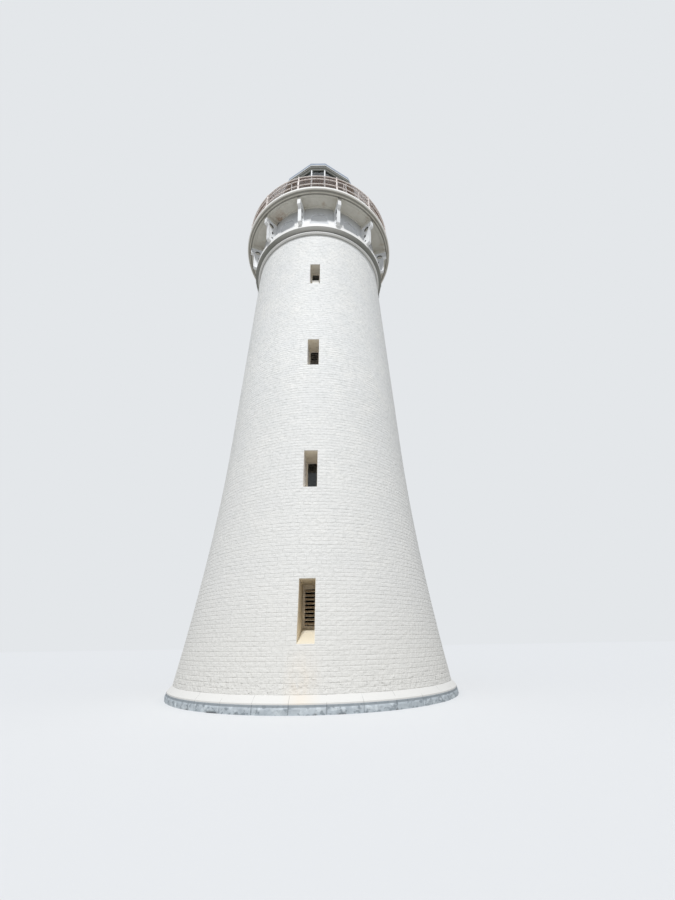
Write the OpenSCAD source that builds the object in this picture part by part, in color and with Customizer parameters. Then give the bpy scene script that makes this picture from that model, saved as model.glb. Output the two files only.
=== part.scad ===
// Round brick lighthouse with a bracketed gallery and a twelve-sided lantern.
// Millimetres, +Z up, origin at the centre of the plinth's underside, front towards -Y.

/* [Base] */
// How far the rock-faced plinth stands out from the weathering course
plinth_out = 36; // [30:1:80]
// Height of the plinth
plinth_h = 165; // [100:5:400]
// Height of the smooth margin along the plinth's top
margin_h = 40; // [20:5:60]
// Set-back of the smooth margin from the rock face
margin_in = 30; // [10:5:60]
// Height of the sloped weathering course
weathering_h = 145; // [100:5:250]
// Upright lip at the foot of the weathering course
weathering_lip = 25; // [10:5:40]
// How far the weathering course stands out from the shaft's foot
weathering_out = 120; // [60:5:140]

/* [Shaft] */
// Height of the shaft's top above the ground
shaft_top_z = 16050; // [15500:50:17500]
// Radius of the shaft at its top
shaft_top_r = 2710; // [2650:5:2800]
// Batter of the shaft's wall, run for each unit of height
batter = 0.0376; // [0.02:0.001:0.045]
// Height at which the foot starts to flare
flare_z = 7290; // [5000:50:8000]
// How far the flare stands out at the shaft's foot
flare_out = 432; // [300:5:460]
// Thickness of the wall at the shaft's top
top_wall_t = 490; // [400:1:600]
// Set-off of the wall's inner face at each floor
setoff = 40; // [20:5:50]

/* [Floors] */
// Height of the first floor
first_floor_z = 3900; // [3600:50:4300]
// Height of the second floor
second_floor_z = 8100; // [7600:50:8600]
// Height of the third floor
third_floor_z = 12050; // [11500:50:12500]
// Thickness of a floor
floor_t = 150; // [100:10:250]
// Thickness of the paving in the lowest storey
paving_t = 60; // [30:5:100]
// Gap round a floor's edge
floor_gap = 5; // [2:1:10]

/* [Windows] */
// Width of a window embrasure
window_w = 380; // [300:10:500]
// Height of an upper window at the wall's face
window_h = 1115; // [900:5:1200]
// Height of the lowest window at the wall's face
low_window_h = 1335; // [1100:5:1400]
// Head of the lowest window
low_head_z = 2525; // [2300:5:2800]
// Head of the window on the first floor
first_head_z = 5970; // [5700:10:6300]
// Head of the window on the second floor
second_head_z = 10225; // [9900:10:10600]
// Head of the window on the third floor
third_head_z = 14180; // [13800:10:14500]
// Distance of the window frames from the well of the lowest storey
frame_in = 240; // [200:5:280]
// Thickness of a window frame
frame_t = 60; // [40:5:80]
// Width of a frame's stiles and sill
frame_bar = 60; // [40:5:80]
// Width of an upper frame's head
head_bar = 50; // [30:5:80]
// Width of the head board over the louvres
low_head_bar = 110; // [60:5:140]
// Rise of a sloped window sill from the wall's face to the frame
sill_rise = 230; // [100:10:250]
// Rise of the lowest window's sill
low_sill_rise = 325; // [200:5:400]
// Thickness of the window glass
glass_t = 8; // [4:1:12]
// Number of louvre blades in the lowest window
louvre_count = 9; // [5:1:12]
// Depth of a louvre blade
louvre_d = 70; // [50:5:80]
// Thickness of a louvre blade
louvre_t = 14; // [8:1:20]
// Slope of a louvre blade in degrees
louvre_slope = 40; // [30:1:50]

/* [Door] */
// Width of the back doorway
door_w = 960; // [800:10:1100]
// Height of the back doorway
door_h = 2100; // [1900:10:2300]
// Depth of the doorway's outer reveal
door_reveal = 300; // [200:10:500]
// Width and depth of the door frame's timbers
door_frame_w = 90; // [60:5:120]
// Thickness of the door leaf
door_t = 50; // [40:5:60]
// Clearance round the door leaf
door_gap = 3; // [2:1:6]

/* [Cornice] */
// Height of the roll under the cornice
roll_h = 90; // [50:5:110]
// How far the roll stands out from the shaft
roll_out = 110; // [60:2:130]
// How far the cornice's outer face stands out from the shaft
cornice_out = 240; // [200:1:290]
// Height of the cornice's soffit above the shaft's top
cornice_soffit_h = 247; // [200:1:300]
// Height of the cornice's outer face
cornice_face_h = 168; // [120:4:220]
// Height of the neck under the roll
neck_h = 33; // [20:1:80]
// How far the hollow over the roll stands out from the shaft
fillet_out = 36; // [20:2:60]
// Rise of the cornice's soffit from the hollow to its edge
fillet_h = 45; // [30:5:60]
// Slope of the cornice's soffit, run at its outer edge
cornice_drip = 20; // [10:2:30]

/* [Gallery] */
// Turn of the gallery's bays from the window line, in degrees
gallery_turn = 2.7; // [-5:0.1:5]
// How far the drum wall under the gallery stands out from the shaft's top
drum_out = 10; // [0:1:40]
// Height of the underside of the gallery's soffit borders
soffit_z = 17890; // [17500:10:18400]
// Depth of the soffit's sunk panels
panel_depth = 40; // [20:5:60]
// Number of brackets and of drum bays
bay_count = 12; // [8:4:16]
// Width of a blind arch
arch_w = 690; // [500:10:900]
// Depth of a blind arch's sunk panel
arch_depth = 60; // [30:5:100]
// Drop from the soffit to the crown of a blind arch
arch_crown_drop = 385; // [300:5:500]
// Width over the pair of stone blocks beside a bracket's foot
block_w = 660; // [500:10:800]
// Height of the stone blocks above the cornice
block_h = 485; // [300:5:560]
// How far the stone blocks stand out from the drum wall
block_out = 60; // [40:5:100]
// How far the gallery's nosing stands out from the drum wall
gallery_out = 750; // [700:5:800]
// Thickness of the nosing
nosing_h = 90; // [60:5:120]
// Thickness of the gallery slab at its edge
slab_t = 230; // [200:5:300]
// Width of the soffit's outer border
border_w = 130; // [80:5:180]
// Width of the groove round the soffit's panels
groove_w = 55; // [30:5:80]
// Depth of the groove above the panels
groove_d = 60; // [30:5:80]
// Width of the soffit's border along the drum wall
wall_border_w = 70; // [40:5:100]
// Width of a soffit rib over a bracket
rib_w = 160; // [144:2:200]
// Drop of a rib below the soffit's borders
rib_drop = 190; // [120:5:240]
// Drop of the moulding's foot below the nosing
moulding_drop = 25; // [20:5:40]

/* [Brackets] */
// Length of a bracket's arm from the drum wall
arm_len = 570; // [540:5:590]
// Height of a bracket's nose
nose_h = 320; // [280:5:360]
// Radius of the curves at the nose and under it
nose_round = 60; // [50:2:80]
// Distance of a leg's outer edge from the drum wall, at its top
leg_out = 430; // [400:5:460]
// Taper of a leg's outer edge down to its toe
leg_taper = 45; // [20:5:80]
// Radius of the round at a leg's toe
toe_round = 95; // [70:5:110]
// Thickness of a bracket's web
web_t = 60; // [40:5:80]
// Width of a bracket's edge flange
flange_w = 140; // [100:5:160]
// Thickness of a bracket's edge flange
flange_t = 40; // [30:1:50]
// Radius of the round eye in a bracket
eye_r = 118; // [90:2:120]
// Distance of the eye's centre from the drum wall
eye_x = 262; // [250:2:270]
// Drop of the eye's centre from a bracket's top
eye_drop = 215; // [205:5:230]
// Width of the slot below the eye
slot_w = 76; // [60:2:90]
// Height of the slot below the eye
slot_h = 170; // [140:5:200]
// Drop of the slot's top from a bracket's top
slot_drop = 520; // [480:5:560]
// Distance of the slot's centre line from the drum wall
slot_x = 165; // [160:5:180]
// Diameter of the hole at the foot
foot_hole_d = 80; // [60:2:90]
// Drop of the foot hole's centre from a bracket's top
foot_hole_drop = 925; // [900:5:960]
// Play of a bracket's foot between its stone blocks
socket_gap = 5; // [2:1:10]

/* [Railing] */
// Number of railing posts
post_count = 13; // [12:1:20]
// Turn of the posts from the window line, in degrees
post_turn = 1.4; // [-5:0.1:5]
// Side of a railing post
post_s = 50; // [36:2:60]
// Height of the railing's top rail above the deck
rail_h = 930; // [850:10:1250]
// Height of the middle rail above the deck
mid_rail_h = 710; // [600:10:900]
// Height of the lowest rail above the deck
low_rail_h = 350; // [250:10:560]
// Radius of a rail's round bar
rail_bar_r = 20; // [14:1:24]
// Distance of the upright part of a post from the nosing's edge
post_in = 75; // [70:5:220]
// Height of a post's raking foot
rake_h = 300; // [200:10:340]
// Rise of a post over the top rail
post_rise = 40; // [25:5:80]
// Distance of a post's foot from the nosing's edge
foot_in = 10; // [5:1:20]

/* [Lantern] */
// Turn of the lantern from the window line, in degrees
lantern_turn = 0; // [-10:0.5:10]
// How far the eave's corners stand out from the glass line
eave_out = 165; // [90:5:190]
// Half angle of a short side, in degrees
short_half = 10.3; // [9:0.1:15]
// Height of the fascia's top
eave_z = 22990; // [22500:10:23500]
// Height of the upper fascia band
fascia_upper_h = 200; // [120:5:240]
// Height of the lower fascia band
fascia_lower_h = 55; // [40:5:200]
// Set-back of the lower fascia band
fascia_in = 45; // [20:5:60]
// Height of the beam over the glass
head_beam_h = 110; // [80:5:140]
// Corner radius of the lantern's glass line
glass_line_r = 1855; // [1820:5:1930]
// Height of the lantern's base wall above the deck
lantern_base_h = 1950; // [1600:10:2200]
// Thickness of the lantern's base wall
lantern_base_t = 90; // [60:5:120]
// Thickness of the lantern's sill
lantern_sill_t = 110; // [80:5:140]
// How far the lantern's sill stands out from the base wall
lantern_sill_out = 70; // [40:5:100]
// Diameter of a lantern mullion
mullion_d = 76; // [60:2:90]
// Rise of the lantern's roof
roof_rise = 1080; // [800:10:1300]
// Corner radius of the roof's neck
neck_r = 330; // [250:5:400]
// Radius of the ventilator ball
ball_r = 290; // [220:5:340]
// Thickness of the roof's sheets and boards
roof_t = 40; // [20:5:60]
// Set-back of the roof's edge from the fascia
roof_in = 30; // [10:5:50]
// Height of the ventilator's neck
vent_neck_h = 170; // [100:5:250]
// Radius of the spike on the ventilator
spike_r = 22; // [14:1:30]
// Rise of the spike over the ball
spike_h = 160; // [100:10:400]

/* [Hidden] */

ring_fn = 96;
small_fn = 48;
// Short arcs are drawn finer, so that their ends and middles keep the true radius
arc_fn = 360;
// Turns that bring a quarter's first edge to the front, right, back and left
FRONT = 225;
RIGHT = 315;
BACK = 45;
LEFT = 135;
// Clearance of pieces that lie beside a curved face
seat_gap = 0.3;
// Length that runs clear past any wall
past = 6000;
// Rings of points up each storey's wall
wall_steps = 10;

foot_z = plinth_h + weathering_h;
foot_r = shaft_r(foot_z);
plinth_r = foot_r + weathering_out + plinth_out;
drum_r = shaft_top_r + drum_out;
cornice_r = shaft_top_r + cornice_out;
nosing_r = drum_r + gallery_out;
eave_r = glass_line_r + eave_out;
floor_levels = [foot_z + paving_t, first_floor_z, second_floor_z, third_floor_z];
storey_base = [foot_z, first_floor_z - floor_t, second_floor_z - floor_t, third_floor_z - floor_t, shaft_top_z];
cornice_z = shaft_top_z + cornice_soffit_h;
cornice_top_z = cornice_z + cornice_face_h;
rib_z = soffit_z - rib_drop;
bracket_h = rib_z - cornice_top_z;
top_well_r = storey_well_r(3);
deck_z = soffit_z + slab_t;
base_top_z = deck_z + lantern_base_h;
sill_top_z = base_top_z + lantern_sill_t;
eave_soffit_z = eave_z - fascia_upper_h - fascia_lower_h;
glass_top_z = eave_soffit_z - head_beam_h;
roof_top_z = eave_z + roof_rise;
post_r = nosing_r - post_in;
frame_y = storey_well_r(0) + frame_in;
door_z = foot_z + paving_t;
door_y = shaft_r(door_z + door_h) - door_reveal;

// Outer radius of the shaft at a height
function shaft_r(z) = shaft_top_r + batter * (shaft_top_z - z)
    + (z < flare_z ? flare_out * pow((flare_z - z) / (flare_z - plinth_h - weathering_h), 2) : 0);
// Inner radius of a storey, counted from the ground
function storey_well_r(i) = shaft_top_r - top_wall_t - setoff * (3 - i);
// Corners of the lantern's plan: short and long sides take turns
function lantern_plan(r) = [for (k = [0 : 5], s = [-1, 1])
    let (a = 60 * k - 90 + s * short_half) [r * cos(a), r * sin(a)]];

// The windows: storey, head, height, sill rise, frame's head bar, and turn about the tower
WINDOWS = [
    [0, low_head_z, low_window_h, low_sill_rise, low_head_bar, 0],
    [1, first_head_z, window_h, sill_rise, head_bar, 0],
    [2, second_head_z, window_h, sill_rise, head_bar, 0],
    [3, third_head_z, window_h, sill_rise, head_bar, 0],
    [1, first_head_z, window_h, sill_rise, head_bar, 180],
    [2, second_head_z, window_h, sill_rise, head_bar, 180],
    [3, third_head_z, window_h, sill_rise, head_bar, 180]];

// Corners of an outline drawn clockwise, each moved in by a margin along the bisector of its edges
function inset(p, m) = [for (i = [0 : len(p) - 1])
    let (a = p[(i + len(p) - 1) % len(p)], b = p[i], c = p[(i + 1) % len(p)],
        u = (b - a) / norm(b - a), v = (c - b) / norm(c - b))
    b + m * [u[1] + v[1], -u[0] - v[0]] / (1 + u * v)];
// Points on an arc
function arc(x, y, r, from, to, steps) = [for (k = [0 : steps])
    let (a = from + (to - from) * k / steps) [x + r * cos(a), y + r * sin(a)]];

// Places children once for each bay of the gallery
module each_bay() {
    for (k = [0 : bay_count - 1]) rotate([0, 0, gallery_turn - 90 + (k + 0.5) * 360 / bay_count]) children();
}

// Space of one window through the wall, with its sloped sill
module embrasure(w) {
    sill = w[1] - w[2];
    rotate([0, 0, w[5]]) translate([window_w / 2, 0, 0]) rotate([90, 0, -90])
        linear_extrude(window_w) polygon([
            [0, sill + w[3]], [frame_y, sill + w[3]], [shaft_r(sill), sill],
            [past, sill - (past - shaft_r(sill)) * w[3] / (shaft_r(sill) - frame_y)], [past, w[1]], [0, w[1]]]);
}

// Doorway through the back of the wall
module doorway() {
    translate([-door_w / 2, 0, door_z]) cube([door_w, past, door_h]);
}

// Upright joints of a storey's wall beside an opening, at a turn about the tower
module jamb_joints(i, w, turn) {
    low = storey_base[i] - 1;
    rotate([0, 0, turn]) for (x = [-w / 2 - seat_gap, w / 2])
        translate([x, -past, low]) cube([seat_gap, past, storey_base[i + 1] - low + 1]);
}

// Quarter of one storey's wall, starting at a turn
module wall_quarter(i, turn) {
    low = storey_base[i];
    high = storey_base[i + 1];
    r_in = storey_well_r(i);
    rotate([0, 0, turn]) rotate_extrude(angle = 90, $fn = ring_fn) polygon(concat(
        [for (k = [0 : wall_steps]) let (z = low + (high - low) * k / wall_steps) [shaft_r(z), z]],
        [[r_in, high], [r_in, low]]));
}

module plain_wall(i, turn) {
    color("white") wall_quarter(i, turn);
}

// Wall with a window: the pieces beside, under and over it stand joint to joint
module front_wall(i) {
    color("white") difference() {
        wall_quarter(i, FRONT);
        for (w = WINDOWS) if (w[0] == i && w[5] == 0) embrasure(w);
        jamb_joints(i, window_w, 0);
    }
}

module back_wall(i) {
    color("white") difference() {
        wall_quarter(i, BACK);
        for (w = WINDOWS) if (w[0] == i && w[5] == 180) embrasure(w);
        if (i == 0) doorway();
        jamb_joints(i, i == 0 ? door_w : window_w, 180);
    }
}

// Solid base of the tower, rock-faced with a smooth margin
module plinth() {
    r = plinth_r - margin_in;
    color("slategray") rotate_extrude($fn = ring_fn) polygon([
        [0, 0], [plinth_r, 0], [plinth_r, plinth_h - margin_h],
        [r, plinth_h - margin_h], [r, plinth_h], [0, plinth_h]]);
}

module weathering_course() {
    r = foot_r + weathering_out;
    color("white") rotate_extrude($fn = ring_fn) polygon([
        [0, plinth_h], [r, plinth_h], [r, plinth_h + weathering_lip], [foot_r, foot_z], [0, foot_z]]);
}

module cornice() {
    z = shaft_top_z;
    roll_r = roll_h / 2;
    roll_x = shaft_top_r + roll_out - roll_r;
    roll_z = z + neck_h + roll_r;
    color("white") rotate_extrude($fn = ring_fn) union() {
        polygon([
            [top_well_r, z], [shaft_top_r, z], [roll_x, roll_z - roll_r / 2], [roll_x, roll_z + roll_r / 2],
            [shaft_top_r + fillet_out, roll_z + roll_r], [shaft_top_r + fillet_out, cornice_z - fillet_h],
            [cornice_r - cornice_drip, cornice_z], [cornice_r, cornice_z],
            [cornice_r, cornice_top_z], [top_well_r, cornice_top_z]]);
        translate([roll_x, roll_z]) circle(r = roll_r, $fn = small_fn);
    }
}

// Quarter of the drum wall, with its blind arches sunk in the bays
module drum_quarter(turn) {
    color("white") difference() {
        rotate([0, 0, turn]) rotate_extrude(angle = 90, $fn = ring_fn)
            translate([top_well_r, cornice_top_z]) square([drum_r - top_well_r, soffit_z - cornice_top_z]);
        each_bay() rotate([0, 0, 180 / bay_count]) blind_arch();
    }
}

// Space of one blind arch, along +X
module blind_arch() {
    crown = soffit_z - arch_crown_drop;
    translate([drum_r - arch_depth, 0, 0]) rotate([90, 0, 90]) linear_extrude(arch_depth * 2) {
        translate([0, crown - arch_w / 2]) circle(d = arch_w, $fn = small_fn);
        translate([-arch_w / 2, cornice_top_z]) square([arch_w, crown - arch_w / 2 - cornice_top_z]);
    }
}

// Stone blocks on the cornice, in pairs beside the brackets' feet
module bracket_blocks() {
    gap = flange_w + 2 * socket_gap;
    r = drum_r + block_out;
    turn = 2 * asin(block_w / 2 / r);
    color("white") each_bay() difference() {
        rotate([0, 0, -turn / 2]) rotate_extrude(angle = turn, $fn = ring_fn)
            translate([drum_r + seat_gap, cornice_top_z]) square([block_out - seat_gap, block_h]);
        translate([0, -gap / 2, cornice_top_z - 1]) cube([past, gap, block_h + 2]);
    }
}

// Outline of a bracket below its rib, X out from the drum wall, drawn clockwise
bracket_outline = concat(
    [[0, 0], [arm_len, 0]],
    arc(arm_len - nose_round, nose_round - nose_h, nose_round, 0, -90, 4),
    arc(leg_out + nose_round, -nose_h - nose_round, nose_round, 90, 180, 4),
    arc(leg_out - leg_taper - toe_round, toe_round - bracket_h, toe_round, 0, -90, 5),
    [[0, -bracket_h]]);

// Openings through a bracket: a round eye, a slot below it and a small hole at the foot
module bracket_holes() {
    translate([eye_x, -eye_drop]) circle(r = eye_r, $fn = small_fn);
    translate([slot_x, -foot_hole_drop]) circle(d = foot_hole_d, $fn = small_fn);
    translate([slot_x, -slot_drop]) {
        translate([0, -slot_w / 2]) circle(d = slot_w, $fn = small_fn);
        translate([-slot_w / 2, slot_w / 2 - slot_h]) square([slot_w, slot_h - slot_w]);
        translate([0, slot_w / 2 - slot_h]) circle(d = slot_w, $fn = small_fn);
    }
}

// One pierced cast bracket along +X: a web, and a wider flange round its edge
module bracket() {
    translate([drum_r + seat_gap, 0, rib_z]) rotate([90, 0, 0]) {
        translate([0, 0, -web_t / 2]) linear_extrude(web_t) difference() {
            polygon(bracket_outline);
            bracket_holes();
        }
        translate([0, 0, -flange_w / 2]) linear_extrude(flange_w) difference() {
            polygon(bracket_outline);
            polygon(inset(bracket_outline, flange_t));
        }
    }
}

module gallery_brackets() {
    color("ghostwhite") each_bay() bracket();
}

// Slab of the gallery: borders and ribs frame the sunk panels of its soffit
module gallery_slab() {
    edge_r = nosing_r - border_w;
    panel_z = soffit_z + panel_depth;
    panel_r = edge_r - border_w - groove_w;
    lip_z = deck_z - nosing_h - moulding_drop;
    // A hollow moulding rises in steps from the border to the nosing
    run = border_w - moulding_drop;
    rise = lip_z - soffit_z;
    color("lightgray") {
        rotate_extrude($fn = ring_fn) polygon([
            [0, panel_z], [panel_r, panel_z], [panel_r, panel_z + groove_d],
            [panel_r + groove_w, panel_z + groove_d], [panel_r + groove_w, soffit_z], [edge_r, soffit_z],
            [edge_r + run * 0.15, soffit_z + rise * 0.4], [edge_r + run * 0.4, soffit_z + rise * 0.5],
            [edge_r + run * 0.6, soffit_z + rise * 0.85], [nosing_r - moulding_drop, lip_z],
            [nosing_r - moulding_drop * 0.6, deck_z - nosing_h], [nosing_r, deck_z - nosing_h],
            [nosing_r, deck_z], [0, deck_z]]);
        rotate_extrude($fn = ring_fn) translate([top_well_r, soffit_z])
            square([drum_r + wall_border_w - top_well_r, panel_depth + 1]);
        each_bay() translate([drum_r + seat_gap, -rib_w / 2, rib_z])
            cube([arm_len - seat_gap, rib_w, rib_drop + panel_depth + 1]);
    }
}

// One post along +X: a raking foot that rises from the nosing, then upright
module railing_post() {
    s = post_s;
    outer = nosing_r - foot_in;
    top = deck_z + rail_h + post_rise;
    translate([0, s / 2, 0]) rotate([90, 0, 0]) linear_extrude(s) polygon([
        [outer - s, deck_z], [outer, deck_z], [post_r + s / 2, deck_z + rake_h],
        [post_r + s / 2, top], [post_r - s / 2, top], [post_r - s / 2, deck_z + rake_h]]);
}

// Places children once for each railing post
module each_post() {
    for (k = [0 : post_count - 1]) rotate([0, 0, post_turn - 90 + (k + 0.5) * 360 / post_count]) children();
}

module railing_posts() {
    color("mistyrose") each_post() railing_post();
}

// Three curved rails in each bay, each in two lengths that meet in the middle
module railing_rails() {
    end = asin((post_s / 2 + seat_gap) / post_r);
    joint = asin(seat_gap / post_r);
    length = 180 / post_count - end - joint;
    color("mistyrose") each_post()
        for (h = [rail_h, mid_rail_h, low_rail_h], start = [end, 180 / post_count + joint])
            rotate([0, 0, start]) rotate_extrude(angle = length, $fn = arc_fn)
                translate([post_r, deck_z + h]) circle(r = rail_bar_r, $fn = small_fn);
}

// Twelve-sided wall between two plan radii
module lantern_ring(r_out, r_in, z, h) {
    rotate([0, 0, lantern_turn]) translate([0, 0, z]) linear_extrude(h) difference() {
        polygon(lantern_plan(r_out));
        polygon(lantern_plan(r_in));
    }
}

module lantern_base() {
    t = lantern_base_t / 2;
    color("white") lantern_ring(glass_line_r + t, glass_line_r - t, deck_z, lantern_base_h);
}

module lantern_sill() {
    r = glass_line_r + lantern_base_t / 2 + lantern_sill_out;
    color("white") lantern_ring(r, glass_line_r - lantern_base_t / 2, base_top_z, lantern_sill_t);
}

module lantern_mullions() {
    h = glass_top_z - sill_top_z;
    color("white") rotate([0, 0, lantern_turn]) for (p = lantern_plan(glass_line_r))
        translate([p[0], p[1], sill_top_z]) cylinder(d = mullion_d, h = h, $fn = small_fn);
}

module lantern_glass() {
    h = glass_top_z - sill_top_z;
    color("lightblue", 0.4) difference() {
        lantern_ring(glass_line_r + glass_t / 2, glass_line_r - glass_t / 2, sill_top_z, h);
        rotate([0, 0, lantern_turn]) for (p = lantern_plan(glass_line_r))
            translate([p[0], p[1], sill_top_z - 1])
                cylinder(d = mullion_d + 2 * seat_gap, h = h + 2, $fn = small_fn);
    }
}

module lantern_eave() {
    r_in = glass_line_r - lantern_base_t / 2;
    color("lightsteelblue") {
        lantern_ring(eave_r, r_in, eave_z - fascia_upper_h, fascia_upper_h);
        lantern_ring(eave_r - fascia_in, r_in, eave_soffit_z, fascia_lower_h);
        lantern_ring(glass_line_r + lantern_base_t / 2, r_in, glass_top_z, head_beam_h);
    }
}

module lantern_roof() {
    s = neck_r / eave_r;
    color("white") rotate([0, 0, lantern_turn]) translate([0, 0, eave_z]) difference() {
        linear_extrude(roof_rise, scale = s) polygon(lantern_plan(eave_r - roof_in));
        translate([0, 0, -roof_t]) linear_extrude(roof_rise, scale = s) polygon(lantern_plan(eave_r - roof_in));
    }
}

module ventilator() {
    ball_z = roof_top_z + vent_neck_h + ball_r * 0.9;
    color("white") rotate_extrude($fn = ring_fn) difference() {
        union() {
            translate([0, roof_top_z]) square([neck_r * 0.8, vent_neck_h]);
            translate([0, ball_z]) circle(r = ball_r, $fn = small_fn);
            translate([0, ball_z]) square([spike_r, ball_r + spike_h]);
        }
        translate([-ball_r - 1, roof_top_z]) square([ball_r + 1, 3 * ball_r + vent_neck_h]);
    }
}

// Paving inside the lowest storey, on the solid base
module ground_floor() {
    color("gray") translate([0, 0, foot_z])
        cylinder(r = storey_well_r(0) - floor_gap, h = paving_t, $fn = ring_fn);
}

// Floor of an upper storey, on the wall's set-off
module upper_floor(i) {
    color("gray") translate([0, 0, floor_levels[i] - floor_t])
        cylinder(r = storey_well_r(i) - floor_gap, h = floor_t, $fn = ring_fn);
}

// Moves children to a window's frame: X across, Y out, Z up from the frame's sill
module at_frame(w) {
    rotate([0, 0, w[5]]) translate([0, -frame_y, w[1] - w[2] + w[3]]) children();
}

module window_frames() {
    color("wheat") for (w = WINDOWS) at_frame(w) {
        h = w[2] - w[3];
        translate([-window_w / 2, 0, 0]) difference() {
            cube([window_w, frame_t, h]);
            translate([frame_bar, -1, frame_bar])
                cube([window_w - 2 * frame_bar, frame_t + 2, h - frame_bar - w[4]]);
        }
    }
}

module window_glass() {
    color("lightblue", 0.4) for (w = WINDOWS) if (w[0] > 0) at_frame(w)
        translate([-window_w / 2 + frame_bar, frame_t / 2 - glass_t / 2, frame_bar])
            cube([window_w - 2 * frame_bar, glass_t, w[2] - w[3] - frame_bar - w[4]]);
}

module window_louvres() {
    w = WINDOWS[0];
    h = w[2] - w[3] - frame_bar - w[4];
    color("wheat") at_frame(w) for (k = [0 : louvre_count - 1])
        translate([-window_w / 2 + frame_bar, frame_t / 2, frame_bar + (k + 0.5) * h / louvre_count])
            rotate([louvre_slope, 0, 0]) translate([0, -louvre_d / 2, -louvre_t / 2])
                cube([window_w - 2 * frame_bar, louvre_d, louvre_t]);
}

module door_frame() {
    s = door_frame_w;
    color("wheat") translate([-door_w / 2, door_y - s, door_z]) difference() {
        cube([door_w, s, door_h]);
        translate([s, -1, -1]) cube([door_w - 2 * s, s + 2, door_h - s + 1]);
    }
}

module door_leaf() {
    s = door_frame_w;
    color("wheat") translate([-door_w / 2 + s + seat_gap, door_y - s / 2 - door_t / 2, door_z])
        cube([door_w - 2 * s - 2 * seat_gap, door_t, door_h - s - door_gap]);
}

plinth();
weathering_course();
front_wall(0);  // ground_wall_front
plain_wall(0, RIGHT);  // ground_wall_right
back_wall(0);  // ground_wall_back
plain_wall(0, LEFT);  // ground_wall_left
front_wall(1);  // first_wall_front
plain_wall(1, RIGHT);  // first_wall_right
back_wall(1);  // first_wall_back
plain_wall(1, LEFT);  // first_wall_left
front_wall(2);  // second_wall_front
plain_wall(2, RIGHT);  // second_wall_right
back_wall(2);  // second_wall_back
plain_wall(2, LEFT);  // second_wall_left
front_wall(3);  // third_wall_front
plain_wall(3, RIGHT);  // third_wall_right
back_wall(3);  // third_wall_back
plain_wall(3, LEFT);  // third_wall_left
cornice();
drum_quarter(FRONT);  // drum_front
drum_quarter(RIGHT);  // drum_right
drum_quarter(BACK);  // drum_back
drum_quarter(LEFT);  // drum_left
bracket_blocks();
gallery_brackets();
gallery_slab();
railing_posts();
railing_rails();
lantern_base();
lantern_sill();
lantern_mullions();
lantern_glass();
lantern_eave();
lantern_roof();
ventilator();
ground_floor();
upper_floor(1);  // first_floor
upper_floor(2);  // second_floor
upper_floor(3);  // third_floor
window_frames();
window_glass();
window_louvres();
door_frame();
door_leaf();
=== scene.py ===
import math

import bmesh
import bpy
from mathutils import Matrix, Vector, noise


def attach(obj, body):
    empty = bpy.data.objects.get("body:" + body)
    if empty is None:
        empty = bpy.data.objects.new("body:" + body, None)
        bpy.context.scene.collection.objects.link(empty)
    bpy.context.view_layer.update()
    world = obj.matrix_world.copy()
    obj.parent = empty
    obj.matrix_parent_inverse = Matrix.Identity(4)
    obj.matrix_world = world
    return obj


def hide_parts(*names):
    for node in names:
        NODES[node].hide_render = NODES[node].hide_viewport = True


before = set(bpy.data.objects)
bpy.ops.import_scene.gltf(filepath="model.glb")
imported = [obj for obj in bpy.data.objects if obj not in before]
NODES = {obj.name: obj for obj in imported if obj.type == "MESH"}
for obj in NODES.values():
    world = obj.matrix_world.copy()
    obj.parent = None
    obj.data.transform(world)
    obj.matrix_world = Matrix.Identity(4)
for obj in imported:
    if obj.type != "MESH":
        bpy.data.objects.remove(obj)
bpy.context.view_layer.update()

# Sizes in metres, from the part's source
PLINTH_H = 0.165
MARGIN_H = 0.040
MARGIN_IN = 0.030
FOOT_Z = 0.310
WEATHERING_OUT = 0.120
PLINTH_OUT = 0.036
SHAFT_TOP_Z = 16.050
SHAFT_TOP_R = 2.710
BATTER = 0.0376
FLARE_Z = 7.290
FLARE_OUT = 0.432
TOP_WALL_T = 0.490
SETOFF = 0.040
STOREYS = [FOOT_Z, 3.750, 7.950, 11.900, SHAFT_TOP_Z]
WINDOW_W = 0.380
WINDOW_H = 1.115
SILL_RISE = 0.230
UPPER_HEADS = [5.970, 10.225, 14.180]
FRAME_IN = 0.240
FRAME_T = 0.060
DOOR_W = 0.960
DOOR_Z = 0.370
DOOR_H = 2.100
DOOR_REVEAL = 0.300
DRUM_R = 2.720
BRACKET_TOP_Z = 17.700
SOFFIT_Z = 17.890
LIP_Z = 18.005
DECK_Z = 18.120
NOSING_R = 3.470
POST_R = 3.395
POSTS = 13
POST_TURN = 1.4
POST_TOP = 0.970
RAILS = [0.930, 0.710, 0.350]
GLASS_R = 1.855
EAVE_R = 2.020
EAVE_Z = 22.990
FASCIA_H = 0.255
ROOF_IN = 0.030
ROOF_RISE = 1.080
NECK_R = 0.330
VENT_NECK_H = 0.170
BALL_R = 0.290
LANTERN_BASE_H = 1.950
LANTERN_BASE_T = 0.090
SHORT_HALF = 10.3
# The windows: head, height, sill rise, and turn about the tower in degrees
WINDOWS = [(2.525, 1.335, 0.325, 0)] + [
    (head, WINDOW_H, SILL_RISE, turn) for turn in (0, 180) for head in UPPER_HEADS]
# Holes of a bracket: distance from the drum wall, drop from its top, radius, and half the straight part
BRACKET_HOLES = [(0.262, 0.215, 0.118, 0), (0.165, 0.605, 0.038, 0.047), (0.165, 0.925, 0.040, 0)]

# Brickwork: course count, joints, brick lengths and how far the painted faces stand out of the joints
COURSES = 168
COURSE_H = (SHAFT_TOP_Z - FOOT_Z) / COURSES
BED_JOINT = 0.010
END_JOINT = 0.004
STRETCHER = 0.232
HEADER = 0.112
BRICK_DEPTH = 0.012
STAND_OUT = 0.001
ARRIS = 0.007
ARRIS_DEPTH = 0.003
END_ARRIS = 0.003
# Each course starts this share of a brick further round than the one below
BOND_SHIFT = 0.37
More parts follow.
